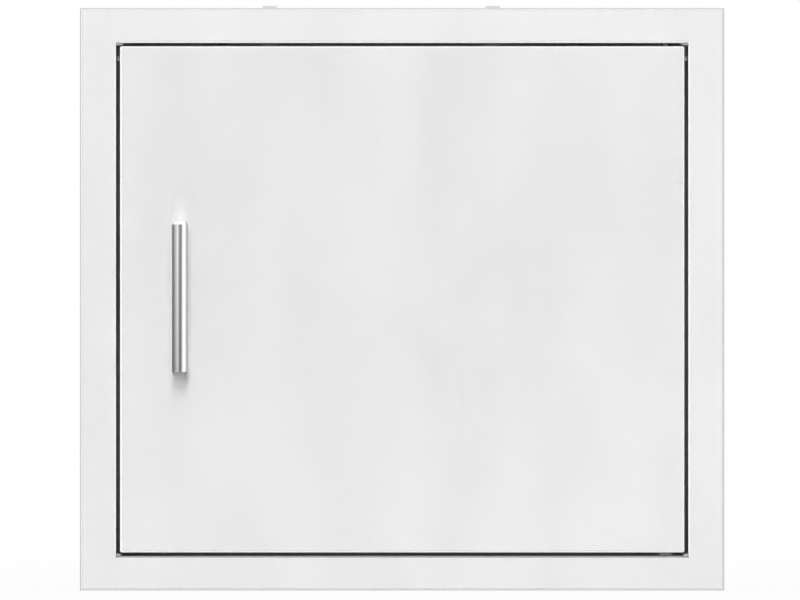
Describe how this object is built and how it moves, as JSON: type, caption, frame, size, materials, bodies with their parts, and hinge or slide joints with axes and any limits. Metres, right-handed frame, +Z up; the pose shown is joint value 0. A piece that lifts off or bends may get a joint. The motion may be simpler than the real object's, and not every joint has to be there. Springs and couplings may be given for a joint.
{
  "type": "bbq island access door",
  "caption": "Flush stainless steel access door in a folded face frame, hung on hidden pins, with a round bar pull.",
  "frame": {"origin": "centre of the cut-out, in the plane of the island's face, which the flange's return lips touch", "axes": "+X to the right seen from outside, +Y into the island, +Z up"},
  "size_m": [0.5334, 0.0921, 0.4847],
  "materials": {
    "frame_steel": "brushed along the width, satin",
    "door_steel": "brushed along the width, satin",
    "liner_steel": "brushed along the width, satin",
    "handle_steel": "finely brushed along the bar",
    "mill_steel": "matt mill finish",
    "turned_steel": "turned and polished",
    "blackened_steel": "turned, black oxide",
    "fastener_steel": "bright",
    "spring_steel": "drawn wire and stamped clip",
    "zinc_steel": "zinc plated",
    "ferrite": "sintered, matt",
    "catch_plastic": "moulded grey",
    "knob_plastic": "moulded black",
    "plug_plastic": "moulded grey",
    "acetal": "machined, off-white",
    "nylon": "moulded dark grey",
    "bumper_rubber": "moulded black"
  },
  "bodies": {
    "root": {"frame_top_rail": "frame_steel", "frame_bottom_rail": "frame_steel", "frame_left_stile": "frame_steel", "frame_right_stile": "frame_steel", "header_channel": "frame_steel", "upper_pivot_plate": "mill_steel", "lower_pivot_plate": "mill_steel", "lower_pivot_pin": "blackened_steel", "pivot_thrust_washer": "nylon", "door_bumpers": "bumper_rubber", "catch_housing": "catch_plastic", "catch_magnet": "ferrite", "catch_pole_plates": "zinc_steel", "catch_screws": "fastener_steel"},
    "door": {"door_skin": "door_steel", "door_liner": "liner_steel", "door_stiffener": "mill_steel", "handle_backing_plate": "mill_steel", "handle_bar": "handle_steel", "handle_end_caps": "handle_steel", "handle_posts": "handle_steel", "handle_screws": "fastener_steel", "handle_washers": "fastener_steel", "liner_plugs": "plug_plastic", "strike_plate": "zinc_steel", "strike_screws": "fastener_steel", "upper_hinge_block": "acetal", "lower_hinge_block": "acetal", "upper_pin_bush": "nylon", "lower_pivot_bush": "nylon", "hinge_block_screws": "fastener_steel", "pin_spring": "spring_steel"},
    "release_pin": {"release_pin": "blackened_steel", "release_lever": "turned_steel", "lever_knob": "knob_plastic", "pin_clip": "spring_steel"}
  },
  "joints": [
    {"name": "door_hinge", "type": "hinge", "parent": "root", "child": "door", "pos_m": [0.2179, 0.002, 0], "axis": [0, 0, 1], "range_deg": [0, 120]},
    {"name": "pin_release", "type": "slide", "parent": "door", "child": "release_pin", "axis": [0, 0, -1], "range_m": [0, 0.007], "stiffness_N_per_m": 800, "springref_m": -0.006, "deforming": ["pin_spring"]}
  ]
}
